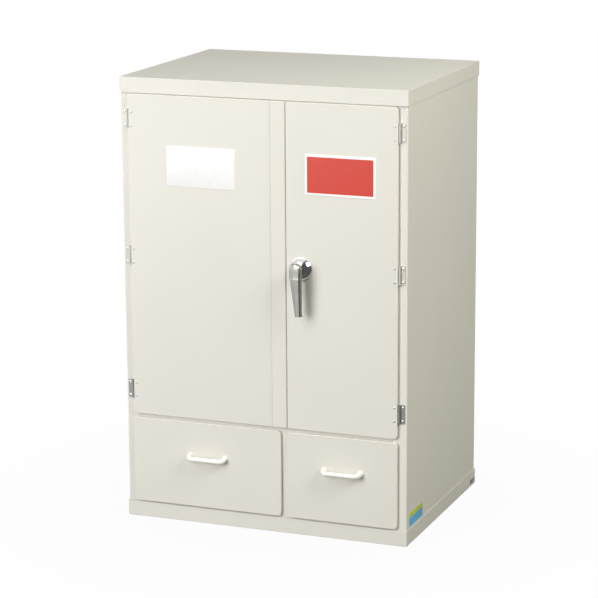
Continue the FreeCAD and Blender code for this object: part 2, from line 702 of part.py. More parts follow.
def fixed_runner(wall_x, inward):
    """Channel on the cabinet that a drawer runner slides in; inward is the way to the drawer."""
    z = (RUNNER_LOW, RUNNER_LOW + RUNNER_HEIGHT)
    y = (FACE_Y + RUNNER_START, INNER_BACK_Y)
    ends = sorted((wall_x, wall_x + inward * RUNNER_FLANGE))
    hollow_x = sorted((wall_x + inward * SHEET, ends[0] if inward < 0 else ends[1]))
    return box(ends, y, z).cut(box(hollow_x, y, (z[0] + SHEET, z[1] - SHEET)))


def moving_runner(wall_x, inward):
    """Channel on the drawer box that slides inside the fixed one."""
    low = RUNNER_LOW + SHEET + RUN
    high = RUNNER_LOW + RUNNER_HEIGHT - SHEET - RUN
    y = (FACE_Y + RUNNER_BOX_INSET, FRONT_BACK_Y + BOX_LENGTH)
    tip_x = wall_x + inward * (SHEET + RUNNER_SIDE_CLEAR)
    box_x = wall_x + inward * RUNNER_SPACE
    web_x = box_x - inward * SHEET
    channel = box(sorted((tip_x, box_x)), y, (low, high))
    return channel.cut(box(sorted((tip_x, web_x)), y, (low + SHEET, high - SHEET)))


def pull(x, z):
    """Bow pull: one round bar bent at both corners that hangs a little below its flared feet."""
    half = PULL_SPAN / 2
    leg = math.hypot(PULL_REACH, PULL_DROP)
    down = Vector(0, -PULL_REACH, -PULL_DROP) / leg
    bend = PULL_CORNER
    slant = bend * (1 - math.sqrt(0.5))

    def spot(across, run):
        return Vector(x + across, FRONT_Y, z) + down * run

    edges = [
        Part.LineSegment(spot(-half, -PULL_RADIUS), spot(-half, leg - bend)),
        Part.Arc(spot(-half, leg - bend), spot(slant - half, leg - slant), spot(bend - half, leg)),
        Part.LineSegment(spot(bend - half, leg), spot(half - bend, leg)),
        Part.Arc(spot(half - bend, leg), spot(half - slant, leg - slant), spot(half, leg - bend)),
        Part.LineSegment(spot(half, leg - bend), spot(half, -PULL_RADIUS)),
    ]
    path = Part.Wire([e.toShape() for e in edges])
    ring = Part.Wire(Part.makeCircle(PULL_RADIUS, spot(-half, -PULL_RADIUS), down))
    bar = path.makePipeShell([ring], True, False)
    for across in (-half, half):
        foot = Part.makeCone(PULL_FOOT_RADIUS, PULL_RADIUS, PULL_FOOT_HEIGHT, spot(across, 0), OUT)
        bar = bar.fuse(foot)
    for across in (-half, half):
        depth = PULL_SCREW_DEPTH + FIT
        bar = bar.cut(rod(PULL_SCREW_RADIUS + PIN_CLEAR, spot(across, 0), depth, OUT))
    waste = PULL_SPAN
    bar = bar.cut(box((x - waste, x + waste), (FRONT_Y, FRONT_Y + waste), (z - waste, z + waste)))
    return bar.removeSplitter()


def pull_screws(x, z):
    """Two screws that hold a pull from inside the drawer front."""
    made = []
    inner_y = FRONT_Y + SHEET
    for across in (-PULL_SPAN / 2, PULL_SPAN / 2):
        spot = Vector(x + across, inner_y, z)
        head = rod(PULL_SCREW_HEAD_RADIUS, spot, PULL_SCREW_HEAD, -OUT)
        shank = rod(PULL_SCREW_RADIUS, spot, SHEET + PULL_SCREW_DEPTH, OUT)
        made.append(head.fuse(shank).removeSplitter())
    return Part.makeCompound(made)


def drawer_box(bay_x):
    """Open box of five sheets, welded at their edges: floor, inner front, back and two sides."""
    x = (bay_x[0] + RUNNER_SPACE, bay_x[1] - RUNNER_SPACE)
    y = (FRONT_BACK_Y, FRONT_BACK_Y + BOX_LENGTH)
    low = SILL_HIGH + BOX_RISE
    wall_z = (low + BOX_SHEET, low + BOX_HEIGHT)
    inner_y = (y[0] + BOX_SHEET, y[1] - BOX_SHEET)
    return Part.makeCompound([
        box(x, y, (low, low + BOX_SHEET)),
        box(x, (y[0], y[0] + BOX_SHEET), wall_z),
        box(x, (y[1] - BOX_SHEET, y[1]), wall_z),
        box((x[0], x[0] + BOX_SHEET), inner_y, wall_z),
        box((x[1] - BOX_SHEET, x[1]), inner_y, wall_z),
    ])


def drawer(name, front_x, bay_x):
    """Pieces of one drawer and the fixed runners that carry it."""
    pull_x = (front_x[0] + front_x[1]) / 2
    pull_z = DRAWER_LOW + PULL_RISE
    screw_spots = [(pull_x - PULL_SPAN / 2, pull_z), (pull_x + PULL_SPAN / 2, pull_z)]
    walls = ((bay_x[0], 1), (bay_x[1], -1))
    return {
        name + "_front": drilled(pan(front_x, DRAWER_Z), screw_spots, PULL_SCREW_RADIUS + FIT),
        name + "_backing": liner(front_x, DRAWER_Z),
        name + "_box": drawer_box(bay_x),
        name + "_pull": pull(pull_x, pull_z),
        name + "_pull_screws": pull_screws(pull_x, pull_z),
        name + "_moving_runners": Part.makeCompound([moving_runner(x, way) for x, way in walls]),
        name + "_fixed_runners": Part.makeCompound([fixed_runner(x, way) for x, way in walls]),
    }


def cabinet():
    """Every node of the cabinet by name."""
    side = right_side_panel()
    nodes = {
        "top_cap": top_cap(),
        "base_tray": base_tray(),
        "right_side_panel": side,
        "left_side_panel": mirror_x(side),
        "back_panel": back_panel(),
        "header_rail": header_rail(),
        "mid_rail": mid_rail(),
        "front_sill": front_sill(),
        "middle_deck": middle_deck(),
        "drawer_divider": drawer_divider(),
        "shelf_standards": shelf_standards(),
        "shelf_clips": shelf_clips(),
        "lower_shelf": shelf(LOWER_SHELF_RISE),
        "upper_shelf": shelf(UPPER_SHELF_RISE),
        "rosette": rosette(),
        "lever": lever(),
        "lever_spindle": spindle(),
        "lever_cam": cam(),
        "cam_nut": cam_nut(),
    }
    nodes.update(left_door())
    nodes.update(right_door())
    nodes.update(hinges())
    nodes.update(slide_bolts())
    nodes.update(drawer("left_drawer", LEFT_DRAWER_X, (-OPENING_X, DIVIDER_X[0])))
    nodes.update(drawer("right_drawer", RIGHT_DRAWER_X, (DIVIDER_X[1], OPENING_X)))
    return nodes


def main():
    """Writes one file per node."""
    os.makedirs("parts", exist_ok=True)
    for name, shape in cabinet().items():
        if not shape.isValid() or not shape.Solids:
            raise ValueError(name + " is not a valid solid")
        shape.exportStep(os.path.join("parts", name + ".step"))


main()
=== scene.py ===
"""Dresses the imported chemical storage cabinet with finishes, screws, bare plates and a stage."""

import json
import math

import bmesh
import bpy
from bpy.props import FloatProperty, FloatVectorProperty, PointerProperty
from mathutils import Matrix, Vector


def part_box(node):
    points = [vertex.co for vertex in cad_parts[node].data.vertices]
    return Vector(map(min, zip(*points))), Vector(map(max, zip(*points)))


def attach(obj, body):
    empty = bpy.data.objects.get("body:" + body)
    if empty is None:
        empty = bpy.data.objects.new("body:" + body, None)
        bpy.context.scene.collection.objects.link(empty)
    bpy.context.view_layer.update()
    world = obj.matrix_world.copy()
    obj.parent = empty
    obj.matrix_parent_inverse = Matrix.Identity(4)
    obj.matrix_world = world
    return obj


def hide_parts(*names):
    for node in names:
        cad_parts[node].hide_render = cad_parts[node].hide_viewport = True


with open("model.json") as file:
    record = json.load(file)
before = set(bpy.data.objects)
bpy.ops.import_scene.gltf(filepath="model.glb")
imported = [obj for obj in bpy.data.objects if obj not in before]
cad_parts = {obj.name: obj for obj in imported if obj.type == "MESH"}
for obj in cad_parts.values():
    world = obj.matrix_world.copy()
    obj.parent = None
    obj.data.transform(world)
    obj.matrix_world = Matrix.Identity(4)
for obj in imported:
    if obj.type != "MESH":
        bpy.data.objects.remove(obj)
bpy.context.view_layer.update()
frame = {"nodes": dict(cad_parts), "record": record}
NODES = frame["nodes"]

bl_info = {
    "name": "Chemical Cabinet Dressing",
    "version": (1, 0, 0),
    "blender": (4, 5, 0),
    "location": "View3D > Sidebar > Cabinet",
    "description": "Finishes the sheet steel, hardware and plates of a chemical storage cabinet",
    "category": "Object",
}

OUT = Vector((0, -1, 0))
ACROSS = Vector((1, 0, 0))
SIDES = ("left", "right")
LEVELS = ("bottom", "middle", "top")

# How nearly a face or an edge follows a direction that it is picked by
ALIGNED = 0.99
SHARP_EDGE = math.radians(40)
SMOOTH_EDGE = math.radians(35)
SCREW_SMOOTH_EDGE = math.radians(30)
SCREW_TURN = math.radians(37)

# Shares of a buffer's radius, thickness and inset
BUFFER_RIM = 0.3
BUFFER_DISH = 0.3
BUFFER_EDGE = 0.25
BUFFER_SIDE_INSET = 0.8

# Part of a noise pattern's range that is spread over a finish
PATTERN_RANGE = (0.3, 0.7)

COOL_LIGHT = (1.0, 1.0, 1.0)
WARM_LIGHT = (1.0, 1.0, 0.91)
LAMP_SPOT = (0.0, -0.1, 0.6)
REAR_SPOT = (0.0, 0.0, 0.45)
FLOOR_TONE = (0.2, 0.2, 0.195, 1.0)
FLOOR_FADE = (0.35, 0.9)
FLOOR_GLOW = (0.97, 1.0)

# Side of the studio that polished metal mirrors as dark, from its soft edge to its full depth
UNLIT_SIDE = (0.853, -0.492, 0.174)
UNLIT_RANGE = (math.cos(math.radians(68)), math.cos(math.radians(50)))
UNLIT_GLOW = (1.0, 0.1)

SENSOR_WIDTH = 36.0
VIEW_DEPTH = 60.0


def srgb(red, green, blue):
    """Linear colour for a colour given as it is seen, from 0 to 255."""
    def linear(value):
        share = value / 255
        return share / 12.92 if share <= 0.04045 else ((share + 0.055) / 1.055) ** 2.4
    return (linear(red), linear(green), linear(blue))


def length(name, description, default):
    """Property that holds a length in metres."""
    return FloatProperty(name=name, description=description, default=default, unit="LENGTH", precision=5)


def angle(name, description, degrees):
    """Property that holds an angle, given in degrees."""
    return FloatProperty(
        name=name, description=description, default=math.radians(degrees), subtype="ANGLE")


def power(name, description, watts):
    """Property that holds the power of a lamp."""
    return FloatProperty(name=name, description=description, default=watts, unit="POWER")


def colour(name, description, default):
    """Property that holds a colour."""
    return FloatVectorProperty(
        name=name, description=description, default=default, subtype="COLOR", min=0.0, max=1.0)


class CabinetColours(bpy.types.PropertyGroup):
    """Colours of the cabinet's finishes."""
    ivory: colour("Ivory paint", "Paint of the body, doors and drawers", srgb(231, 228, 220))
    # Painted shadow: darker ivory for the thin line that stands in for the shade along the meeting strip's
    # left edge
    bead: colour("Strip bead", "Seam along the meeting strip", srgb(190, 187, 178))
    hinge: colour("Hinge steel", "Upper and middle hinges", srgb(200, 198, 189))
    # Painted shade: darker copy of the same hinge steel for the lowest hinges
    hinge_painted_shade: colour("Dark hinge steel", "Lowest hinges", srgb(146, 148, 142))
    # Partly painted shade: screw steel darker than bare steel, standing in for the shade and dark
    # reflections on the heads
    screw: colour("Screw steel", "Screw heads", srgb(92, 90, 84))
    zinc: colour("Zinc plate", "Bolts, cam and lock plate", srgb(186, 187, 182))
    galvanised: colour("Galvanised steel", "Runners, shelf standards and clips", srgb(190, 194, 196))
    lever: colour("Lever casting", "Satin casting of the lever", srgb(158, 158, 153))
    chrome: colour("Chrome", "Rosette of the lever", srgb(226, 227, 228))
    pull: colour("Pull moulding", "White moulding of the drawer pulls", srgb(244, 242, 236))
    plate_white: colour("White plate", "Left door's plate and border of the other", srgb(250, 250, 250))
    plate_red: colour("Red field", "Field of the plate on the right door", srgb(205, 46, 20))
    sticker_high: colour("Sticker, upper band", "Blank sticker on the side", srgb(222, 224, 84))
    sticker_low: colour("Sticker, lower band", "Blank sticker on the side", srgb(112, 204, 255))
    tag: colour("Tag", "Small bare plate on the base tray", srgb(70, 70, 66))
    rubber: colour("Rubber", "Door and drawer buffers", srgb(58, 58, 56))


class CabinetSizes(bpy.types.PropertyGroup):
    """Sizes of the pieces that are modelled here."""
    plate_width: length("Plate width", "Width of the door plates", 0.145)
    plate_height: length("Plate height", "Height of the door plates", 0.080)
    plate_thick: length("Plate thickness", "How far the door plates stand out", 0.0008)
    plate_corner: length("Plate corner", "Corner radius of the door plates", 0.0015)
    plate_border: length("Plate border", "White border round the red field", 0.0048)
    white_plate_x: length("White plate x", "Middle of the left door's plate", -0.1271)
    red_plate_x: length("Red plate x", "Middle of the right door's plate", 0.1638)
    plate_z: length("Plate height above floor", "Middle of the door plates", 0.7288)
    sticker_length: length("Sticker length", "Length of the side sticker", 0.080)
    sticker_height: length("Sticker height", "Height of the side sticker", 0.028)
    sticker_y: length("Sticker y", "Middle of the side sticker", -0.165)
    sticker_z: length("Sticker z", "Middle of the side sticker", 0.049)
    sticker_band: length("Sticker band", "Height of the sticker's lower band", 0.018)
    tag_length: length("Tag length", "Length of the base tray's tag", 0.031)
    tag_height: length("Tag height", "Height of the base tray's tag", 0.010)
    tag_y: length("Tag y", "Middle of the tag", 0.2055)
    tag_z: length("Tag z", "Middle of the tag", 0.0095)
    tag_thick: length("Tag thickness", "Thickness of the base tray's tag", 0.0001)
    film_thick: length("Film thickness", "Thickness of the sticker", 0.0004)
    film_corner: length("Film corner", "Corner radius of the sticker and the tag", 0.0015)
    # Size of the painted shadow line along the meeting strip's left edge
    painted_shadow_width: length("Bead width", "Width of the seam along the meeting strip", 0.0008)
    painted_shadow_thick: length("Bead thickness", "How far that seam stands out", 0.0003)
    leaf_thick: length("Leaf thickness", "Thickness of a hinge leaf", 0.0012)
    screw_pitch: length("Screw pitch", "Distance between the screws of a hinge leaf", 0.027)
    screw_radius: length("Screw radius", "Radius of a screw's shank", 0.0015)
    recess_length: length("Recess length", "Length of a screw's cross recess", 0.0028)
    recess_width: length("Recess width", "Width of a screw's cross recess", 0.0006)
    recess_depth: length("Recess depth", "Depth of a screw's cross recess", 0.0005)
    buffer_radius: length("Buffer radius", "Radius of the rubber buffers", 0.005)
    buffer_thick: length("Buffer thickness", "Thickness of the rubber buffers", 0.0011)
    buffer_inset: length("Buffer inset", "From a door's corner to its buffer", 0.009)


class CabinetStage(bpy.types.PropertyGroup):
    """Camera, lamps and floor."""
    azimuth: angle("Azimuth", "Camera's turn from the front", 21.39)
    elevation: angle("Elevation", "Camera's rise", 13.14)
    roll: angle("Roll", "Camera's roll", -0.35)
    distance: length("Distance", "From the target to the camera", 4.962)
    target: FloatVectorProperty(
        name="Target", description="Point on the optical axis", default=(-0.0112, 0.0, 0.4251),
        subtype="TRANSLATION", unit="LENGTH")
    lens: FloatProperty(
        name="Lens", description="Focal length in millimetres", default=145.84, unit="CAMERA")
    floor_side: length("Floor side", "Side of the square floor", 14.0)
    ambient: FloatProperty(
        name="Ambient", description="Strength of the light from all round", default=0.11)
    key: power("Key lamp", "Lamp at the front left", 62.0)
    front: power("Front lamp", "Large lamp high at the front left", 54.0)
    fill: power("Fill lamp", "Lamp high at the right", 78.0)
    rear: power("Rear lamps", "Each of the lamps at the left side and the back", 44.0)


def start():
    """Object mode with nothing selected."""
    if bpy.context.mode != "OBJECT":
        bpy.ops.object.mode_set(mode="OBJECT")
    bpy.ops.object.select_all(action="DESELECT")


def apply_place(piece):
    """Moves a piece's place, turn and scale into its mesh."""
    bpy.ops.object.transform_apply(location=True, rotation=True, scale=True)
    return piece


def add_block(name, lows, highs):
    """Cube primitive stretched between two corners."""
    start()
    lows, highs = Vector(lows), Vector(highs)
    bpy.ops.mesh.primitive_cube_add(size=1.0, location=(lows + highs) / 2)
    piece = bpy.context.object
    piece.name = name
    piece.scale = highs - lows
    return apply_place(piece)


def pick(piece, kind, wanted):
    """In edit mode, selects only the faces or edges that a test wants."""
    bpy.context.tool_settings.mesh_select_mode = (False, kind == "edges", kind == "faces")
    mesh = bmesh.from_edit_mesh(piece.data)
    for part in list(mesh.verts) + list(mesh.edges) + list(mesh.faces):
        part.select = False
    for part in getattr(mesh, kind):
        if wanted(part):
            part.select_set(True)
    mesh.select_flush_mode()
    bmesh.update_edit_mesh(piece.data)


def edges_along(axis):
    """Test for the edges that run along an axis."""
    def wanted(edge):
        line = (edge.verts[1].co - edge.verts[0].co).normalized()
        return abs(line.dot(axis)) > ALIGNED
    return wanted


def faces_towards(normal):
    """Test for the faces that look along a direction."""
    def wanted(face):
        return face.normal.dot(normal) > ALIGNED
    return wanted


def round_corners(piece, axis, radius, segments):
    """Rounds the edges of a piece that run along an axis."""
    bpy.ops.object.mode_set(mode="EDIT")
    pick(piece, "edges", edges_along(axis))
    bpy.ops.mesh.bevel(offset=radius, segments=segments, affect="EDGES")
    bpy.ops.object.mode_set(mode="OBJECT")


def soften(piece, width, segments):
    """Rounds every sharp edge with a bevel modifier and shades the piece smooth."""
    bevel = piece.modifiers.new("soft_edges", "BEVEL")
    bevel.width = width
    bevel.segments = segments
    bevel.limit_method = "ANGLE"
    bevel.angle_limit = SHARP_EDGE
    bpy.ops.object.modifier_apply(modifier=bevel.name)
    bpy.ops.object.shade_smooth_by_angle(angle=SMOOTH_EDGE)


def dress(piece, *materials):
    """Gives a piece its materials in order."""
    piece.data.materials.clear()
    for material in materials:
        piece.data.materials.append(material)


def map_range(tree, value, source, target):
    """Value carried from one range to another and held within it."""
    spread = tree.nodes.new("ShaderNodeMapRange")
    for name, number in zip(("From Min", "From Max", "To Min", "To Max"), source + target):
        spread.inputs[name].default_value = number
    tree.links.new(value, spread.inputs["Value"])
    return spread.outputs["Result"]


def combine(tree, operation, first, second):
    """Result of a sum on two values."""
    node = tree.nodes.new("ShaderNodeMath")
    node.operation = operation
    tree.links.new(first, node.inputs[0])
    tree.links.new(second, node.inputs[1])
    return node.outputs[0]


class Surface:
    """Procedural material under construction, with its patterns on Object coordinates."""

    def __init__(self, name, metal=0.0, coat=0.0):
        self.material = bpy.data.materials.new(name)
        self.material.use_nodes = True
        self.tree = self.material.node_tree
        self.shader = self.tree.nodes["Principled BSDF"]
        self.shader.inputs["Metallic"].default_value = metal
        self.shader.inputs["Coat Weight"].default_value = coat
        self.place = self.tree.nodes.new("ShaderNodeTexCoord")

    def join(self, out_socket, in_socket):
        self.tree.links.new(out_socket, in_socket)

    def spots(self, scale, stretch=(1.0, 1.0, 1.0), detail=2.0):
        """Cloudy pattern from 0 to 1; scale is in turns per metre."""
        mapping = self.tree.nodes.new("ShaderNodeMapping")
        mapping.inputs["Scale"].default_value = stretch
        noise = self.tree.nodes.new("ShaderNodeTexNoise")
        noise.inputs["Scale"].default_value = scale
        noise.inputs["Detail"].default_value = detail
        self.join(self.place.outputs["Object"], mapping.inputs["Vector"])
        self.join(mapping.outputs["Vector"], noise.inputs["Vector"])
        return noise.outputs["Fac"]

    def cells(self, scale):
        """Flakes of even tone, from 0 to 1."""
        cells = self.tree.nodes.new("ShaderNodeTexVoronoi")
        cells.inputs["Scale"].default_value = scale
        split = self.tree.nodes.new("ShaderNodeSeparateColor")
        self.join(self.place.outputs["Object"], cells.inputs["Vector"])
        self.join(cells.outputs["Color"], split.inputs["Color"])
        return split.outputs["Red"]

    def tone(self, pattern, base, dark, light, span=PATTERN_RANGE):
        """Colour that runs between a darker and a lighter shade of the base along a pattern."""
        ramp = self.tree.nodes.new("ShaderNodeValToRGB")
        first, last = ramp.color_ramp.elements
        first.position, last.position = span
        first.color = [min(1.0, part * dark) for part in base] + [1.0]
        last.color = [min(1.0, part * light) for part in base] + [1.0]
        self.join(pattern, ramp.inputs["Fac"])
        self.join(ramp.outputs["Color"], self.shader.inputs["Base Color"])

    def gloss(self, pattern, low, high):
        """Roughness between two values along a pattern."""
        rough = map_range(self.tree, pattern, PATTERN_RANGE, (low, high))
        self.join(rough, self.shader.inputs["Roughness"])

    def relief(self, pattern, strength, depth):
        """Fine bumps along a pattern."""
        bump = self.tree.nodes.new("ShaderNodeBump")
        bump.inputs["Strength"].default_value = strength
        bump.inputs["Distance"].default_value = depth
        self.join(pattern, bump.inputs["Height"])
        self.join(bump.outputs["Normal"], self.shader.inputs["Normal"])


def paint(name, base):
    """Baked enamel on sheet steel: faint cloudiness, uneven gloss and orange peel."""
    made = Surface(name)
    made.shader.inputs["Specular IOR Level"].default_value = 0.12
    made.tone(made.spots(2.6), base, 0.975, 1.012)
    made.gloss(made.spots(38.0), 0.54, 0.66)
    made.relief(made.spots(520.0, detail=3.0), 0.10, 0.00025)
    return made.material


def drawn_metal(name, base, gloss, stretch, metal=1.0):
    """Rolled or plated metal with its grain drawn out one way."""
    made = Surface(name, metal=metal)
    lines = made.spots(900.0, stretch, detail=4.0)
    made.tone(lines, base, 0.84, 1.08)
    made.gloss(made.spots(160.0, detail=3.0), *gloss)
    made.relief(lines, 0.12, 0.0001)
    return made.material


def cast_metal(name, base, gloss):
    """Satin casting: fine grain under a soft polish, a little duller in patches."""
    made = Surface(name, metal=1.0)
    made.tone(made.spots(60.0), base, 0.95, 1.04)
    made.gloss(made.spots(240.0), *gloss)
    made.relief(made.spots(1800.0), 0.03, 0.00003)
    return made.material


def flaked_zinc(name, base):
    """Hot-dip zinc with its flakes."""
    made = Surface(name, metal=1.0)
    flakes = made.cells(120.0)
    made.tone(flakes, base, 0.82, 1.06, (0.0, 1.0))
    made.gloss(made.cells(120.0), 0.34, 0.5)
    made.relief(made.spots(700.0), 0.08, 0.0001)
    return made.material


def polished_chrome(name, base):
    """Chrome with faint smudges and polishing haze."""
    made = Surface(name, metal=1.0)
    made.tone(made.spots(90.0, detail=4.0), base, 0.95, 1.03)
    made.gloss(made.spots(150.0, detail=5.0), 0.05, 0.13)
    made.relief(made.spots(320.0, detail=2.0), 0.03, 0.0002)
    return made.material


def moulding(name, base):
    """Glossy moulded plastic with a little flow and a fine skin."""
    made = Surface(name, coat=0.2)
    made.tone(made.spots(45.0), base, 0.975, 1.01)
    made.gloss(made.spots(110.0, detail=3.0), 0.2, 0.31)
    made.relief(made.spots(420.0), 0.05, 0.0002)
    return made.material


def print_film(name, base):
    """Printed film: even ink, a soft sheen and a slight grain."""
    made = Surface(name)
    made.tone(made.spots(70.0, detail=4.0), base, 0.955, 1.015)
    made.gloss(made.spots(180.0, detail=3.0), 0.3, 0.42)
    made.relief(made.spots(1500.0), 0.06, 0.00008)
    return made.material


def rubber(name, base):
    """Dull rubber with fine pores."""
    made = Surface(name)
    made.tone(made.spots(400.0, detail=4.0), base, 0.8, 1.15)
    made.gloss(made.spots(300.0), 0.62, 0.8)
    made.relief(made.spots(1900.0, detail=3.0), 0.25, 0.0001)
    return made.material


def slot_nodes(slot):
    """Objects of the nodes that the record gives a material slot."""
    return [NODES[part["node"]] for part in frame["record"]["subparts"] if part["material_slot"] == slot]


class CABINET_OT_paint_sheets(bpy.types.Operator):
    """Paint the folded sheet pieces of body, doors and drawers"""
    bl_idname = "cabinet.paint_sheets"
    bl_label = "Paint Sheets"

    def execute(self, context):
        ivory = paint("ivory_paint", context.scene.cabinet_colours.ivory)
        for node in slot_nodes("ivory_paint"):
            dress(node, ivory)
        return {"FINISHED"}


class CABINET_OT_finish_hinges(bpy.types.Operator):
    """Give the hinge leaves and pins their rolled steel, with a darker copy painted as shade on the lowest
    hinges
    """
    bl_idname = "cabinet.finish_hinges"
    bl_label = "Finish Hinges"

    def execute(self, context):
        colours = context.scene.cabinet_colours
        upright = (1.0, 1.0, 0.12)
        bright = drawn_metal("hinge_steel", colours.hinge, (0.36, 0.5), upright, 0.22)
        # Painted shade: the lowest hinges get a darker, more metallic copy of the same steel
        dark = drawn_metal("hinge_steel_dark", colours.hinge_painted_shade, (0.36, 0.5), upright, 0.5)
        for node in slot_nodes("hinge_steel"):
            dress(node, dark if "_bottom_" in node.name else bright)
        return {"FINISHED"}


class CABINET_OT_finish_hardware(bpy.types.Operator):
    """Finish the lever, rosette, pulls, bolts, runners and shelf standards"""
    bl_idname = "cabinet.finish_hardware"
    bl_label = "Finish Hardware"

    def execute(self, context):
        colours = context.scene.cabinet_colours
        finishes = {
            "lever_satin": cast_metal("lever_satin", colours.lever, (0.36, 0.48)),
            "rosette_chrome": polished_chrome("rosette_chrome", colours.chrome),
            "pull_plastic": moulding("pull_moulding", colours.pull),
            "bolt_zinc": drawn_metal("bolt_zinc", colours.zinc, (0.3, 0.45), (1.0, 1.0, 0.2)),
            "galvanised_steel": flaked_zinc("galvanised_steel", colours.galvanised),
            # Screw steel darkened as painted shade on the screw heads
            "screw_steel": drawn_metal("screw_steel", colours.screw, (0.5, 0.65), (1.0, 0.3, 1.0), 0.6),
        }
        for slot, material in finishes.items():
            for node in slot_nodes(slot):
                dress(node, material)
        return {"FINISHED"}


def cut_recess(screw, across, up, depth):
    """Cuts one bar of a cross recess into a screw's head."""
    top = min(corner[1] for corner in screw.bound_box)
    half = Vector((across / 2, depth, up / 2))
    cutter = add_block("recess_cutter", top * -OUT - half, top * -OUT + half)
    start()
    screw.select_set(True)
    bpy.context.view_layer.objects.active = screw
    cut = screw.modifiers.new("recess", "BOOLEAN")
    cut.operation = "DIFFERENCE"
    cut.solver = "EXACT"
    cut.object = cutter
    bpy.ops.object.modifier_apply(modifier=cut.name)
    bpy.data.meshes.remove(cutter.data)


def model_screw(name, head_radius, head_height, shank, sizes):
    """Domed screw at the origin: head towards the front, shank going back, cross recess in the head."""
    start()
    ball = (head_radius ** 2 + head_height ** 2) / (2 * head_height)
    bpy.ops.mesh.primitive_uv_sphere_add(
        segments=24, ring_count=40, radius=ball,
        location=(0, ball - head_height, 0), rotation=(math.pi / 2, 0, 0))
    screw = apply_place(bpy.context.object)
    screw.name = name
    bpy.ops.object.mode_set(mode="EDIT")
    bpy.ops.mesh.select_all(action="SELECT")
    bpy.ops.mesh.bisect(plane_co=(0, 0, 0), plane_no=(0, 1, 0), clear_outer=True, use_fill=True)
    pick(screw, "faces", faces_towards(-OUT))
    bpy.ops.mesh.inset(thickness=head_radius - sizes.screw_radius)
    bpy.ops.mesh.extrude_region_move(TRANSFORM_OT_translate={"value": -OUT * shank})
    bpy.ops.mesh.select_all(action="SELECT")
    bpy.ops.mesh.normals_make_consistent(inside=False)
    bpy.ops.object.mode_set(mode="OBJECT")
    cut_recess(screw, sizes.recess_length, sizes.recess_width, sizes.recess_depth)
    cut_recess(screw, sizes.recess_width, sizes.recess_length, sizes.recess_depth)
    bpy.ops.object.shade_smooth_by_angle(angle=SCREW_SMOOTH_EDGE)
    return screw


def set_copies(pattern, name, spots, turns):
    """One piece made of copies of a pattern, each set at a spot and turned about the front's normal."""
    start()
    copies = []
    for spot, turn in zip(spots, turns):
        copy = bpy.data.objects.new(name, pattern.data.copy())
        copy.data.transform(Matrix.Translation(spot) @ Matrix.Rotation(turn, 4, "Y"))
        bpy.context.scene.collection.objects.link(copy)
        copy.select_set(True)
        copies.append(copy)
    bpy.context.view_layer.objects.active = copies[0]
    bpy.ops.object.join()
    copies[0].name = name
    copies[0].data.name = name
    return copies[0]


class CABINET_OT_hinge_screws(bpy.types.Operator):
    """Model a cross-recess screw and set it in every hinge leaf"""
    bl_idname = "cabinet.hinge_screws"
    bl_label = "Hinge Screws"

    def execute(self, context):
        sizes = context.scene.cabinet_sizes
        steel = bpy.data.materials["screw_steel"]
        face = {
            "door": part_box("left_door_skin")[0].y,
            "frame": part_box("left_top_frame_leaf")[1].y - sizes.leaf_thick,
        }
        for kind, body in (("door", None), ("frame", "cabinet")):
            low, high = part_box("right_" + kind + "_leaf_screws")
            head_radius = (high.x - low.x) / 2
            screw = model_screw(kind + "_screw", head_radius, face[kind] - low.y, high.y - face[kind], sizes)
            for side in SIDES:
                node = side + "_" + kind + "_leaf_screws"
                low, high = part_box(node)
                middle_x = (low.x + high.x) / 2
                spots = []
                for level in LEVELS:
                    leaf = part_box(side + "_" + level + "_door_leaf")
                    middle_z = (leaf[0].z + leaf[1].z) / 2
                    for step in (-sizes.screw_pitch / 2, sizes.screw_pitch / 2):
                        spots.append(Vector((middle_x, face[kind], middle_z + step)))
                turns = [SCREW_TURN * count for count in range(len(spots))]
                piece = set_copies(screw, side + "_" + kind + "_screws", spots, turns)
                dress(piece, steel)
                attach(piece, body or side + "_door")
                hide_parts(node)
            bpy.data.meshes.remove(screw.data)
        return {"FINISHED"}


class CABINET_OT_strip_painted_shadow(bpy.types.Operator):
    """Model a painted shadow line: darker ivory along the left edge of the meeting strip, standing in for
    that edge's shade
    """
    bl_idname = "cabinet.strip_bead"
    # Painted shadow line along the meeting strip
    bl_label = "Strip Bead"

    def execute(self, context):
        sizes = context.scene.cabinet_sizes
        low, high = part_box("left_door_meeting_strip")
        front_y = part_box("left_door_skin")[0].y
        lows = (low.x - sizes.painted_shadow_width, front_y - sizes.painted_shadow_thick, low.z)
        bead = add_block("strip_bead", lows, (low.x, front_y, high.z))
        soften(bead, sizes.painted_shadow_thick / 3, 2)
        # Darker paint for the painted shadow line
        dress(bead, paint("bead_paint", context.scene.cabinet_colours.bead))
        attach(bead, "left_door")
        return {"FINISHED"}


class CABINET_OT_door_plates(bpy.types.Operator):
    """Model the bare plates on the doors"""
    bl_idname = "cabinet.door_plates"
    bl_label = "Door Plates"

    def execute(self, context):
        sizes = context.scene.cabinet_sizes
        colours = context.scene.cabinet_colours
        white = print_film("plate_white", colours.plate_white)
        red = print_film("plate_red", colours.plate_red)
        rim = sizes.plate_thick / 4
        for side, middle_x in (("left", sizes.white_plate_x), ("right", sizes.red_plate_x)):
            front_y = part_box(side + "_door_skin")[0].y
            lows = Vector((middle_x, front_y, sizes.plate_z))
            lows -= Vector((sizes.plate_width / 2, sizes.plate_thick, sizes.plate_height / 2))
            highs = lows + Vector((sizes.plate_width, sizes.plate_thick, sizes.plate_height))
            plate = add_block(side + "_door_plate", lows, highs)
            dress(plate, white, red)
            if side == "right":
                bpy.ops.object.mode_set(mode="EDIT")
                pick(plate, "faces", faces_towards(OUT))
                bpy.ops.mesh.inset(thickness=sizes.plate_border)
                plate.active_material_index = 1
                bpy.ops.object.material_slot_assign()
                bpy.ops.object.mode_set(mode="OBJECT")
            round_corners(plate, OUT, sizes.plate_corner, 5)
            soften(plate, rim, 2)
            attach(plate, side + "_door")
        return {"FINISHED"}


def add_film(name, low, film_size):
    """Thin film on a wall that faces right, with its low corner at a spot."""
    return add_block(name, low, Vector(low) + Vector(film_size))


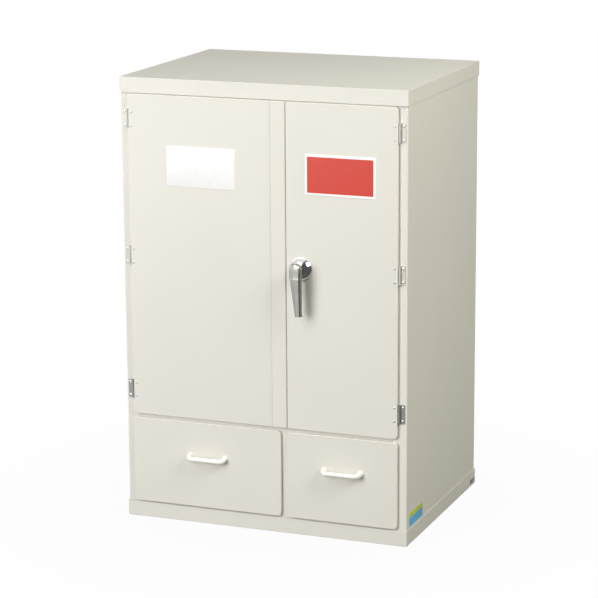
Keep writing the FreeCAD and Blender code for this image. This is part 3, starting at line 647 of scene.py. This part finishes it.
class CABINET_OT_side_film(bpy.types.Operator):
    """Model the blank two-tone sticker and the small bare tag low on the right side"""
    bl_idname = "cabinet.side_film"
    bl_label = "Side Sticker and Tag"

    def execute(self, context):
        sizes = context.scene.cabinet_sizes
        colours = context.scene.cabinet_colours
        wall_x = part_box("right_side_panel")[1].x
        low_y = sizes.sticker_y - sizes.sticker_length / 2
        low_z = sizes.sticker_z - sizes.sticker_height / 2
        band_z = low_z + sizes.sticker_band
        sticker = add_film("side_sticker", (wall_x, low_y, low_z),
                           (sizes.film_thick, sizes.sticker_length, sizes.sticker_height))
        low = print_film("sticker_low", colours.sticker_low)
        high = print_film("sticker_high", colours.sticker_high)
        dress(sticker, high, low)
        round_corners(sticker, ACROSS, sizes.film_corner, 4)
        bpy.ops.object.mode_set(mode="EDIT")
        bpy.ops.mesh.select_all(action="SELECT")
        bpy.ops.mesh.bisect(plane_co=(wall_x, 0, band_z), plane_no=(0, 0, 1))
        pick(sticker, "faces", lambda face: face.calc_center_median().z < band_z)
        sticker.active_material_index = 1
        bpy.ops.object.material_slot_assign()
        bpy.ops.object.mode_set(mode="OBJECT")
        soften(sticker, sizes.film_thick / 4, 2)

        skirt_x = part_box("base_tray")[1].x
        low_y = sizes.tag_y - sizes.tag_length / 2
        low_z = sizes.tag_z - sizes.tag_height / 2
        tag = add_film("base_tag", (skirt_x, low_y, low_z),
                       (sizes.tag_thick, sizes.tag_length, sizes.tag_height))
        dress(tag, print_film("tag_film", colours.tag))
        round_corners(tag, ACROSS, sizes.film_corner, 4)
        soften(tag, sizes.tag_thick / 4, 2)
        for piece in (sticker, tag):
            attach(piece, "cabinet")
        return {"FINISHED"}


class CABINET_OT_buffers(bpy.types.Operator):
    """Model the rubber buffers that doors and drawers close against"""
    bl_idname = "cabinet.buffers"
    bl_label = "Buffers"

    def execute(self, context):
        sizes = context.scene.cabinet_sizes
        start()
        bpy.ops.mesh.primitive_cylinder_add(
            vertices=28, radius=sizes.buffer_radius, depth=sizes.buffer_thick,
            location=(0, -sizes.buffer_thick / 2, 0), rotation=(math.pi / 2, 0, 0))
        pad = apply_place(bpy.context.object)
        bpy.ops.object.mode_set(mode="EDIT")
        pick(pad, "faces", faces_towards(OUT))
        bpy.ops.mesh.inset(thickness=sizes.buffer_radius * BUFFER_RIM)
        dish = -OUT * sizes.buffer_thick * BUFFER_DISH
        bpy.ops.mesh.extrude_region_move(TRANSFORM_OT_translate={"value": dish})
        bpy.ops.object.mode_set(mode="OBJECT")
        soften(pad, sizes.buffer_thick * BUFFER_EDGE, 2)
        face_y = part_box("right_side_panel")[0].y
        inset = sizes.buffer_inset
        spots = []
        for side, way in (("left", 1), ("right", -1)):
            door_low, door_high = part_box(side + "_door_skin")
            hinge_x = door_low.x if way > 0 else door_high.x
            low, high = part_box(side + "_drawer_front")
            for z in (door_low.z + inset, door_high.z - inset, low.z + inset, high.z - inset):
                spots.append(Vector((hinge_x + way * inset * BUFFER_SIDE_INSET, face_y, z)))
        piece = set_copies(pad, "closing_buffers", spots, [0.0] * len(spots))
        bpy.data.meshes.remove(pad.data)
        dress(piece, rubber("buffer_rubber", context.scene.cabinet_colours.rubber))
        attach(piece, "cabinet")
        return {"FINISHED"}


def add_lamp(name, place, spot, side, power, tint, shines=True):
    """Square area lamp at a place, aimed at a spot; one that does not shine leaves no gloss."""
    start()
    bpy.ops.object.light_add(type="AREA", location=place)
    lamp = bpy.context.object
    lamp.name = name
    lamp.data.shape = "SQUARE"
    lamp.data.size = side
    lamp.data.energy = power
    lamp.data.color = tint
    lamp.visible_glossy = shines
    lamp.rotation_euler = (Vector(spot) - lamp.location).to_track_quat("-Z", "Y").to_euler()


def background_rays(tree):
    """Light Path value that is 1 for rays that see the background."""
    path = tree.nodes.new("ShaderNodeLightPath")
    total = path.outputs["Is Camera Ray"]
    for name in ("Is Glossy Ray", "Is Transmission Ray"):
        total = combine(tree, "MAXIMUM", total, path.outputs[name])
    return total


def studio_glow(tree, direction):
    """Glow of the surroundings: even for the camera, low in reflections of the studio's unlit side."""
    unit = tree.nodes.new("ShaderNodeVectorMath")
    unit.operation = "NORMALIZE"
    facing = tree.nodes.new("ShaderNodeVectorMath")
    facing.operation = "DOT_PRODUCT"
    facing.inputs[1].default_value = UNLIT_SIDE
    path = tree.nodes.new("ShaderNodeLightPath")
    tree.links.new(direction, unit.inputs[0])
    tree.links.new(unit.outputs["Vector"], facing.inputs[0])
    dim = map_range(tree, facing.outputs["Value"], UNLIT_RANGE, UNLIT_GLOW)
    return combine(tree, "MAXIMUM", dim, path.outputs["Is Camera Ray"])


def light_world(ambient):
    """Even pale light from all round, with a white background."""
    world = bpy.data.worlds.new("studio")
    bpy.context.scene.world = world
    world.use_nodes = True
    tree = world.node_tree
    soft = tree.nodes["Background"]
    soft.inputs["Color"].default_value = WARM_LIGHT + (1.0,)
    soft.inputs["Strength"].default_value = ambient
    white = tree.nodes.new("ShaderNodeBackground")
    white.inputs["Color"].default_value = (1.0, 1.0, 1.0, 1.0)
    place = tree.nodes.new("ShaderNodeTexCoord")
    mix = tree.nodes.new("ShaderNodeMixShader")
    tree.links.new(studio_glow(tree, place.outputs["Generated"]), white.inputs["Strength"])
    tree.links.new(background_rays(tree), mix.inputs["Fac"])
    tree.links.new(soft.outputs["Background"], mix.inputs[1])
    tree.links.new(white.outputs["Background"], mix.inputs[2])
    tree.links.new(mix.outputs["Shader"], tree.nodes["World Output"].inputs["Surface"])


def floor_material():
    """Pale floor that shows nearly white and keeps the shadow, whiter away from the cabinet."""
    material = bpy.data.materials.new("pale_floor")
    material.use_nodes = True
    tree = material.node_tree
    tree.nodes.clear()
    output = tree.nodes.new("ShaderNodeOutputMaterial")
    matt = tree.nodes.new("ShaderNodeBsdfDiffuse")
    matt.inputs["Color"].default_value = FLOOR_TONE
    glow = tree.nodes.new("ShaderNodeEmission")
    place = tree.nodes.new("ShaderNodeTexCoord").outputs["Object"]
    tree.links.new(studio_glow(tree, place), glow.inputs["Strength"])
    reach = tree.nodes.new("ShaderNodeVectorMath")
    reach.operation = "LENGTH"
    tree.links.new(place, reach.inputs[0])
    fade = map_range(tree, reach.outputs["Value"], FLOOR_FADE, FLOOR_GLOW)
    mix = tree.nodes.new("ShaderNodeMixShader")
    tree.links.new(combine(tree, "MULTIPLY", fade, background_rays(tree)), mix.inputs["Fac"])
    tree.links.new(matt.outputs["BSDF"], mix.inputs[1])
    tree.links.new(glow.outputs["Emission"], mix.inputs[2])
    tree.links.new(mix.outputs["Shader"], output.inputs["Surface"])
    return material


class CABINET_OT_stage(bpy.types.Operator):
    """Set up the floor, lamps, background and camera"""
    bl_idname = "cabinet.stage"
    bl_label = "Stage"

    def execute(self, context):
        stage = context.scene.cabinet_stage
        start()
        bpy.ops.mesh.primitive_plane_add(size=stage.floor_side, location=(0, 0, 0))
        floor = bpy.context.object
        floor.name = "floor"
        dress(floor, floor_material())
        light_world(stage.ambient)
        add_lamp("key_lamp", (-1.5, -3.2, 1.14), LAMP_SPOT, 1.5, stage.key, COOL_LIGHT)
        add_lamp("front_lamp", (-1.1, -2.9, 2.85), LAMP_SPOT, 2.2, stage.front, COOL_LIGHT)
        add_lamp("fill_lamp", (2.55, -0.975, 2.6), LAMP_SPOT, 1.5, stage.fill, WARM_LIGHT)
        add_lamp("left_lamp", (-2.9, 0.5, 0.45), REAR_SPOT, 0.8, stage.rear, COOL_LIGHT, False)
        add_lamp("back_lamp", (-0.3, 3.2, 0.45), REAR_SPOT, 0.8, stage.rear, COOL_LIGHT, False)

        data = bpy.data.cameras.new("view")
        camera = bpy.data.objects.new("view", data)
        context.scene.collection.objects.link(camera)
        data.lens = stage.lens
        data.sensor_width = SENSOR_WIDTH
        data.clip_end = VIEW_DEPTH
        turn, rise = stage.azimuth, stage.elevation
        back = Vector((math.sin(turn) * math.cos(rise), -math.cos(turn) * math.cos(rise), math.sin(rise)))
        right = Vector((math.cos(turn), math.sin(turn), 0.0))
        up = back.cross(right)
        flat, tilt = math.cos(stage.roll), math.sin(stage.roll)
        axes = Matrix((flat * right + tilt * up, flat * up - tilt * right, back)).transposed()
        spot = Vector(stage.target) + back * stage.distance
        camera.matrix_world = Matrix.Translation(spot) @ axes.to_4x4()
        context.scene.camera = camera
        context.scene.view_settings.view_transform = "Standard"
        return {"FINISHED"}


class CABINET_PT_pieces(bpy.types.Panel):
    """Lists the steps that dress the cabinet"""
    bl_idname = "CABINET_PT_pieces"
    bl_label = "Cabinet"
    bl_space_type = "VIEW_3D"
    bl_region_type = "UI"
    bl_category = "Cabinet"

    def draw(self, context):
        for step in STEPS:
            self.layout.operator(step.bl_idname)


STEPS = (
    CABINET_OT_paint_sheets,
    CABINET_OT_finish_hinges,
    CABINET_OT_finish_hardware,
    CABINET_OT_hinge_screws,
    CABINET_OT_strip_painted_shadow,
    CABINET_OT_door_plates,
    CABINET_OT_side_film,
    CABINET_OT_buffers,
    CABINET_OT_stage,
)
GROUPS = {
    "cabinet_colours": CabinetColours,
    "cabinet_sizes": CabinetSizes,
    "cabinet_stage": CabinetStage,
}


def register():
    for group in GROUPS.values():
        bpy.utils.register_class(group)
    for name, group in GROUPS.items():
        setattr(bpy.types.Scene, name, PointerProperty(type=group))
    for step in STEPS:
        bpy.utils.register_class(step)
    bpy.utils.register_class(CABINET_PT_pieces)


def unregister():
    bpy.utils.unregister_class(CABINET_PT_pieces)
    for step in reversed(STEPS):
        bpy.utils.unregister_class(step)
    for name, group in reversed(GROUPS.items()):
        delattr(bpy.types.Scene, name)
        bpy.utils.unregister_class(group)


def main():
    register()
    bpy.ops.cabinet.paint_sheets()
    bpy.ops.cabinet.finish_hinges()
    bpy.ops.cabinet.finish_hardware()
    bpy.ops.cabinet.hinge_screws()
    bpy.ops.cabinet.strip_bead()
    bpy.ops.cabinet.door_plates()
    bpy.ops.cabinet.side_film()
    bpy.ops.cabinet.buffers()
    bpy.ops.cabinet.stage()


if __name__ == "__main__":
    main()
